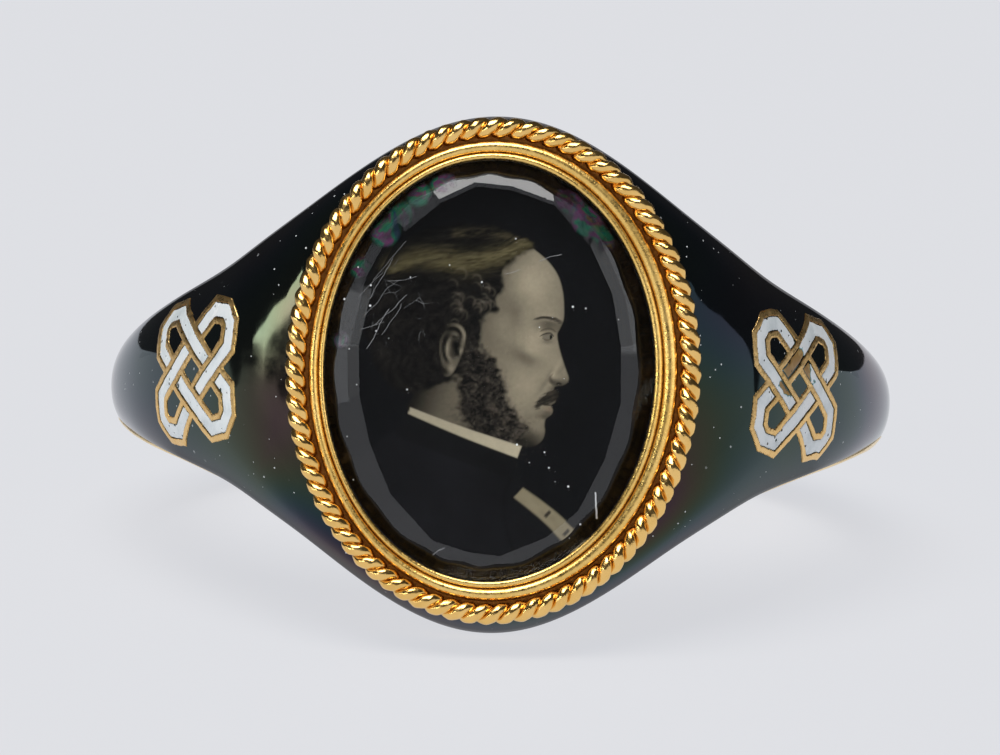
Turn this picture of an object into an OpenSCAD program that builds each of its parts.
// Oval-bezel mourning ring: gold with black and white enamel, a faceted
// crystal over a small oval plate. Millimetres, +Z up. The ring lies on its
// side as it would on a table: on the lower rim of the bezel and on the
// back of the shank. The bezel faces -Y.

/* [Finger hole] */
// Inside radius of the finger hole
hole_r = 8.65; // [8.4:0.05:8.9]

/* [Enamel] */
// Thickness of the enamel skin
enamel_t = 0.3; // [0.2:0.05:0.4]
// Height of the thin gold lip beyond the enamel
lip_h = 0.05; // [0.02:0.01:0.1]
// Gap between separate pieces
gap = 0.03; // [0.02:0.01:0.05]

/* [Bezel] */
// Half width of the oval that the rope border follows
oval_a = 5.03; // [4.95:0.01:5.08]
// Half height of the oval that the rope border follows
oval_b = 6.20; // [6.1:0.01:6.22]
// Radius of the rope border
rope_r = 0.28; // [0.24:0.01:0.3]
// Distance of the rope border's centre in front of the finger hole's axis
rope_w = 11.14; // [11.1:0.01:11.3]
// Width of the collar that holds the crystal
collar_w = 0.48; // [0.42:0.01:0.5]

/* [Crystal and plate] */
// Half width of the crystal's flat table
table_a = 3.38; // [3.1:0.02:3.5]
// Half height of the crystal's flat table
table_b = 4.76; // [4.4:0.02:4.8]
// Height of the crystal's crown facets
crown_h = 0.16; // [0.1:0.02:0.3]
// Thickness of the plate
plate_t = 0.25; // [0.15:0.05:0.3]

/* [Shoulder knots] */
// Half length of each link, to the middle of its ribbon
link_l = 2.14; // [2:0.02:2.3]
// Half width of each link, to the middle of its ribbon
link_w = 0.62; // [0.58:0.01:0.68]
// Angle of each link to the band
link_turn = 38; // [34:1:42]
// Width of the white ribbon
ribbon_w = 0.36; // [0.3:0.02:0.4]
// Width of the gold outline
outline_w = 0.15; // [0.1:0.01:0.18]

/* [Hidden] */

// The band, half way round. Columns: angle from the front in degrees, crown
// radius, radius where the enamel ends, half height, squareness of section.
BAND = [
  [  0, 11.10, 9.20, 6.63, 24.0],
  [ 10, 11.28, 9.20, 6.29, 16.0],
  [ 20, 11.65, 9.22, 5.33,  8.5],
  [ 27, 11.90, 9.24, 4.48,  5.4],
  [ 34, 11.68, 9.27, 3.75,  4.0],
  [ 42, 11.22, 9.28, 3.05,  3.2],
  [ 54, 10.72, 9.30, 2.36,  2.6],
  [ 68, 10.42, 9.30, 1.79,  2.3],
  [ 82, 10.28, 9.28, 1.42,  2.1],
  [100, 10.24, 9.25, 1.32,  2.0],
  [140, 10.08, 9.22, 1.30,  2.0],
  [180,  9.95, 9.20, 1.30,  2.0]];
CROWN = 1; EDGE = 2; HALF = 3; SQUARE = 4;
BAND_STEPS = 60;      // stations round the band
CROSS_STEPS = 10;     // facets across the band
OVAL_STEPS = 60;      // stations round the bezel

// Collar section. Columns: distance in from its outer side as a share of
// its width, height above the bezel's top.
COLLAR = [
  [0.00, -0.20], [0.02, 0.27], [0.12, 0.33], [0.24, 0.31], [0.30, 0.26],
  [0.56, 0.28], [0.68, 0.34], [0.86, 0.34], [0.98, 0.26], [1.00, -0.20]];

bezel_top = rope_w - 0.14;            // flat that the rope is soldered to
rim_w = rope_w - 0.32;                // highest that the enamel reaches
collar_out = -rope_r - 0.05;          // offsets are from the rope's oval
collar_in = collar_out - collar_w;
pocket_in = collar_in + 0.13;
plate_w = rope_w - 1.06;              // back of the plate
crystal_w = plate_w + plate_t + gap;  // back of the crystal
knot_x = 7.73; knot_w = 7.76; knot_turn = 60;

// Smooth value of a band column at an angle from the front
function seg(a, i = 0) = i >= len(BAND) - 2 || a < BAND[i + 1][0] ? i : seg(a, i + 1);
function slope(c, i) = i == 0 || i == len(BAND) - 1 ? 0 :
  (BAND[i + 1][c] - BAND[i - 1][c]) / (BAND[i + 1][0] - BAND[i - 1][0]);
function val(c, a) = let(i = seg(a), h = BAND[i + 1][0] - BAND[i][0],
  t = (a - BAND[i][0]) / h, y0 = BAND[i][c], y1 = BAND[i + 1][c],
  m0 = h * slope(c, i), m1 = h * slope(c, i + 1))
  y0 * (1 + 2 * t) * (1 - t) * (1 - t) + m0 * t * (1 - t) * (1 - t)
  + y1 * t * t * (3 - 2 * t) + m1 * t * t * (t - 1);

// One point [radius, height] of a section at angle a, inset by d, with its
// ends at the radius where the enamel ends plus e; s runs from -1 to 1.
function sec_pt(a, s, d, e) =
  let(re = val(EDGE, a) + e,
      r = re + (val(CROWN, a) - d - re) * cos(90 * s),
      z = (val(HALF, a) - d) * sign(s) * pow(abs(sin(90 * s)), 2 / val(SQUARE, a)),
      lim = a < 60 ? (rim_w - d) / cos(a) : 99)
  [min(r, lim), z];
function sec_arc(a, d, e) = [for (k = [0 : CROSS_STEPS]) sec_pt(a, 2 * k / CROSS_STEPS - 1, d, e)];

// Loft of closed sections round the finger hole's axis
module round_loft(secs) {
  n = len(secs); m = len(secs[0]);
  pts = [for (i = [0 : n - 1], p = secs[i]) let(a = 360 * i / n)
         [p[0] * sin(a), -p[0] * cos(a), p[1]]];
  polyhedron(points = pts, faces = [for (i = [0 : n - 1], j = [0 : m - 1], f = [0, 1])
    let(i2 = (i + 1) % n, j2 = (j + 1) % m)
    f == 0 ? [i * m + j, i * m + j2, i2 * m + j2] : [i * m + j, i2 * m + j2, i2 * m + j]]);
}
function fold(i) = let(a = 360 * i / BAND_STEPS) a > 180 ? 360 - a : a;
function backwards(v) = [for (i = [len(v) - 1 : -1 : 0]) v[i]];

// Everything inside the enamel's outer face
module full_form() {
  round_loft([for (i = [0 : BAND_STEPS - 1]) let(a = fold(i))
    concat([[hole_r - 0.3, -val(HALF, a)]], sec_arc(a, 0, gap), [[hole_r - 0.3, val(HALF, a)]])]);
}
// Gold bed under the enamel, with a flange whose rims are the thin lips
module bed_form() {
  round_loft([for (i = [0 : BAND_STEPS - 1]) let(a = fold(i), h = val(HALF, a) + lip_h, re = val(EDGE, a))
    concat([[hole_r - 0.3, -h], [re, -h]], sec_arc(a, enamel_t + 2 * gap, 0), [[re, h], [hole_r - 0.3, h]])]);
}
// The layer that the enamels fill
module skin_form() {
  round_loft([for (i = [0 : BAND_STEPS - 1]) let(a = fold(i))
    concat(sec_arc(a, 0, gap), backwards(sec_arc(a, enamel_t, gap)))]);
}

// Solid oval, offset by d from the rope's oval, from depth w0 to w1
module oval_block(d, w0, w1, steps = OVAL_STEPS) {
  translate([0, -w0, 0]) rotate([90, 0, 0]) linear_extrude(w1 - w0)
    polygon([for (i = [0 : steps - 1]) let(t = 360 * (i + 0.5) / steps)
      [(oval_a + d) * cos(t), (oval_b + d) * sin(t)]]);
}
// Ring of a section [offset, depth] swept round the oval
module oval_sweep(prof, steps = OVAL_STEPS) {
  m = len(prof);
  pts = [for (i = [0 : steps - 1], p = prof) let(t = 360 * (i + 0.5) / steps)
         [(oval_a + p[0]) * cos(t), -p[1], (oval_b + p[0]) * sin(t)]];
  polyhedron(points = pts, faces = [for (i = [0 : steps - 1], j = [0 : m - 1], f = [0, 1])
    let(i2 = (i + 1) % steps, j2 = (j + 1) % m)
    f == 0 ? [i * m + j, i * m + j2, i2 * m + j2] : [i * m + j, i2 * m + j2, i2 * m + j]]);
}
function rope_section(n = 10) = [for (k = [0 : n - 1]) let(q = 360 * (k + 0.5) / n)
  [rope_r * cos(q), rope_w + rope_r * sin(q)]];

// Link of a knot: a rectangle with cut corners, grown by e
module link_shape(e) {
  a = link_l + e; b = link_w + e; c = 0.42 + 0.586 * e;
  polygon([[a, c - b], [a, b - c], [a - c, b], [c - a, b], [-a, b - c], [-a, c - b], [c - a, -b], [a - c, -b]]);
}
module link_ring(turn, e) {
  rotate(turn) difference() { link_shape(ribbon_w / 2 + e); link_shape(-ribbon_w / 2 - e); }
}
// Windows round the crossings where one link passes over the other
module crossings(side) {
  for (k = [-1, 1]) translate(side ? [k * link_w / sin(link_turn), 0] : [0, k * link_w / cos(link_turn)])
    square(1.15, center = true);
}
module knot_foot(e) {
  link_ring(link_turn, e);
  link_ring(-link_turn, e);
}
module knot_white() {
  difference() {
    link_ring(link_turn, 0);
    intersection() { link_ring(-link_turn, gap + outline_w); crossings(true); }
  }
  difference() {
    link_ring(-link_turn, 0);
    intersection() { link_ring(link_turn, gap + outline_w); crossings(false); }
  }
}
// A shape set square on the right shoulder
module on_shoulder() {
  translate([knot_x, -knot_w, 0]) rotate([90, 0, knot_turn]) translate([0, 0, -3])
    linear_extrude(6) children();
}
module on_both() { on_shoulder() children(); mirror([1, 0, 0]) on_shoulder() children(); }

// Resting place: the lower rim of the bezel and the back of the shank touch
rest_tilt = atan2(val(HALF, 0) - val(HALF, 180), hole_r + val(EDGE, 180));
floor_z = -(val(HALF, 0) + lip_h) * cos(rest_tilt) + hole_r * sin(rest_tilt);
front_y = -(rope_w * cos(rest_tilt) + oval_b * sin(rest_tilt) + rope_r);
back_y = max([for (k = [0 : CROSS_STEPS]) let(p = sec_pt(180, 2 * k / CROSS_STEPS - 1, 0, gap))
  p[0] * cos(rest_tilt) + p[1] * sin(rest_tilt)]);
module resting() {
  translate([0, -(front_y + back_y) / 2, -floor_z]) rotate([-rest_tilt, 0, 0]) children();
}

module gold_body() {
  color([0.87, 0.68, 0.30]) resting() difference() {
    union() {
      difference() {
        union() {
          bed_form();
          oval_block(0.02, 9.4, bezel_top);
          oval_sweep([for (p = COLLAR) [collar_out - p[0] * collar_w, bezel_top + p[1]]]);
          oval_sweep(rope_section());
        }
        oval_block(pocket_in, plate_w - gap, bezel_top + 0.06);
        oval_block(collar_in, plate_w - gap, 13);
      }
      intersection() {
        full_form();
        on_both() difference() { knot_foot(gap + outline_w); knot_white_room(); }
      }
    }
    cylinder(r = hole_r, h = 30, center = true, $fn = 120);
  }
}
// Room that the white cells sit in
module knot_white_room() {
  difference() {
    link_ring(link_turn, gap);
    intersection() { link_ring(-link_turn, outline_w); crossings(true); }
  }
  difference() {
    link_ring(-link_turn, gap);
    intersection() { link_ring(link_turn, outline_w); crossings(false); }
  }
}
module black_enamel() {
  color([0.04, 0.045, 0.05]) resting() difference() {
    skin_form();
    oval_block(0.06, 9.6, 13);
    on_both() knot_foot(2 * gap + outline_w);
  }
}
module white_cells() {
  color([0.93, 0.95, 0.96]) intersection() {
    skin_form();
    on_shoulder() knot_white();
  }
}
module white_enamel_left() { resting() mirror([1, 0, 0]) white_cells(); }
module white_enamel_right() { resting() white_cells(); }

module crystal() {
  // Columns: half width, half height, depth
  rings = [
    [oval_a + pocket_in - gap, oval_b + pocket_in - gap, crystal_w],
    [oval_a + pocket_in - gap, oval_b + pocket_in - gap, bezel_top + 0.06 - gap],
    [oval_a + collar_in - gap, oval_b + collar_in - gap, bezel_top + 0.06 - gap],
    [oval_a + collar_in - gap, oval_b + collar_in - gap, bezel_top + 0.10],
    [table_a + 0.42, table_b + 0.36, bezel_top + 0.34],
    [table_a, table_b, bezel_top + 0.36 + crown_h]];
  n = 40; m = len(rings);
  color([0.75, 0.82, 0.85]) resting() polyhedron(
    points = [for (r = rings, i = [0 : n - 1]) let(t = 360 * (i + 0.5) / n)
      [r[0] * cos(t), -r[2], r[1] * sin(t)]],
    faces = concat(
      [[for (i = [0 : n - 1]) i]],
      [[for (i = [n - 1 : -1 : 0]) (m - 1) * n + i]],
      [for (k = [0 : m - 2], i = [0 : n - 1], f = [0, 1]) let(j = (i + 1) % n)
        f == 0 ? [k * n + i, (k + 1) * n + i, (k + 1) * n + j] : [k * n + i, (k + 1) * n + j, k * n + j]]));
}
module portrait_plate() {
  color([0.20, 0.20, 0.21]) resting()
    oval_block(pocket_in - gap, plate_w, plate_w + plate_t, 40);
}

gold_body();
black_enamel();
white_enamel_left();
white_enamel_right();
crystal();
portrait_plate();
